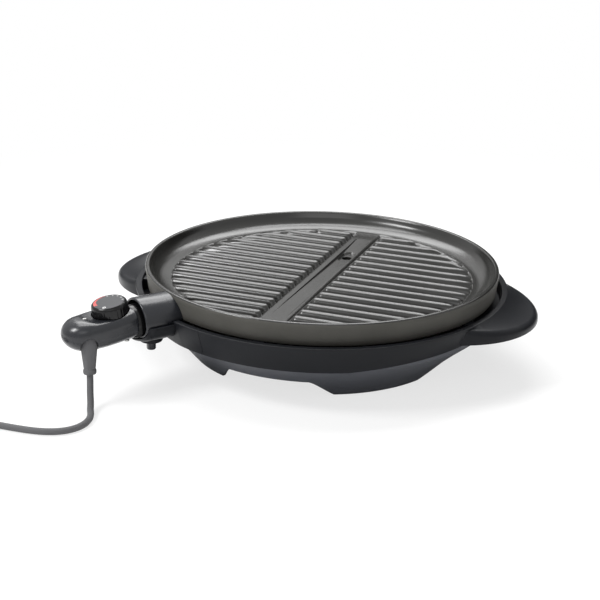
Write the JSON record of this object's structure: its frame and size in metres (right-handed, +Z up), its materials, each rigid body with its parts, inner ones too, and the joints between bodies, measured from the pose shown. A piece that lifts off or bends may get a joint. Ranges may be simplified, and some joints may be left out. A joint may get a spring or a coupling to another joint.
{
  "type": "electric_table_grill",
  "caption": "Round electric table grill: dark ribbed non-stick plate in a dark plastic base with two wing handles and a plug-in temperature control with a mains cord",
  "frame": {"origin": "The middle of the object's outline (without its cord) on the table, at the height of the foot pads' soles", "axes": "+X through the two handles to the user's right, +Y to the back away from the control, +Z up from the table"},
  "size_m": [0.6208, 0.5565, 0.1051],
  "materials": {
    "housing": "fine matte moulding, dark blue grey",
    "housing_upper": "fine matte moulding, darker grey",
    "rubber": "plain black rubber",
    "steel": "zinc-plated or turned steel",
    "shield": "pressed bare aluminium sheet",
    "button": "smooth black moulding",
    "nonstick": "satin dark grey non-stick coat over a cast aluminium plate, turned lines at its rim",
    "element": "oxidised steel sheath",
    "control_gloss": "semi-gloss dark grey moulding",
    "ceramic": "ivory ceramic or heat-proof moulding",
    "brass": "plain brass",
    "knob": "glossy black moulding",
    "dial": null,
    "lamp": "translucent white lens",
    "cord_rubber": "black cord sheath and mouldings"
  },
  "bodies": {
    "base": {"lower_housing": "housing", "upper_housing": "housing_upper", "control_cradle": "housing_upper", "foot_pads": "rubber", "housing_screws": "steel", "heat_shield": "shield", "grip_cover_right": "housing_upper", "grip_cover_left": "housing_upper", "grip_screws": "steel", "button_spring": "steel", "spring_cup": "housing_upper"},
    "button": {"release_button": "button"},
    "tray": {"drip_tray": "shield"},
    "plate": {"grill_plate": "nonstick", "heating_element": "element", "element_clips": "steel", "control_collar": "control_gloss", "collar_screws": "steel", "terminal_pins": "steel", "terminal_insulators": "ceramic", "probe_guide": "brass"},
    "control": {"control_lower_shell": "control_gloss", "control_upper_shell": "control_gloss", "shell_screws": "steel", "contact_block": "control_gloss", "contact_springs": "brass", "temperature_probe": "steel", "thermostat": "ceramic", "thermostat_contacts": "brass", "pilot_lamp": "lamp", "cord_clamp": "ceramic", "cord_clamp_screws": "steel", "strain_relief": "cord_rubber", "mains_cord": "cord_rubber", "cord_coil": "cord_rubber", "coil_tie": "cord_rubber", "plug_body": "cord_rubber", "plug_pins": "steel"},
    "knob": {"knob_shaft": "steel", "temperature_knob": "knob", "knob_dial": "dial"}
  },
  "joints": [
    {"name": "button_press", "type": "slide", "parent": "base", "child": "button", "axis": [0, 0, 1], "range_m": [0, 0.0015], "stiffness_N_per_m": 300, "springref_m": -0.002, "deforming": ["button_spring"]},
    {"name": "tray_lift", "type": "slide", "parent": "base", "child": "tray", "axis": [0, 0, 1], "range_m": [0, 0.02]},
    {"name": "plate_lift", "type": "slide", "parent": "base", "child": "plate", "axis": [0, 0, 1], "range_m": [0, 0.11]},
    {"name": "control_pull", "type": "slide", "parent": "plate", "child": "control", "axis": [-0.5807, -0.8141, 0], "range_m": [0, 0.06]},
    {"name": "knob_turn", "type": "hinge", "parent": "control", "child": "knob", "pos_m": [-0.15505, -0.18954, 0.088], "axis": [-0.1008, -0.1414, 0.9848], "range_deg": [-270, 0]}
  ]
}
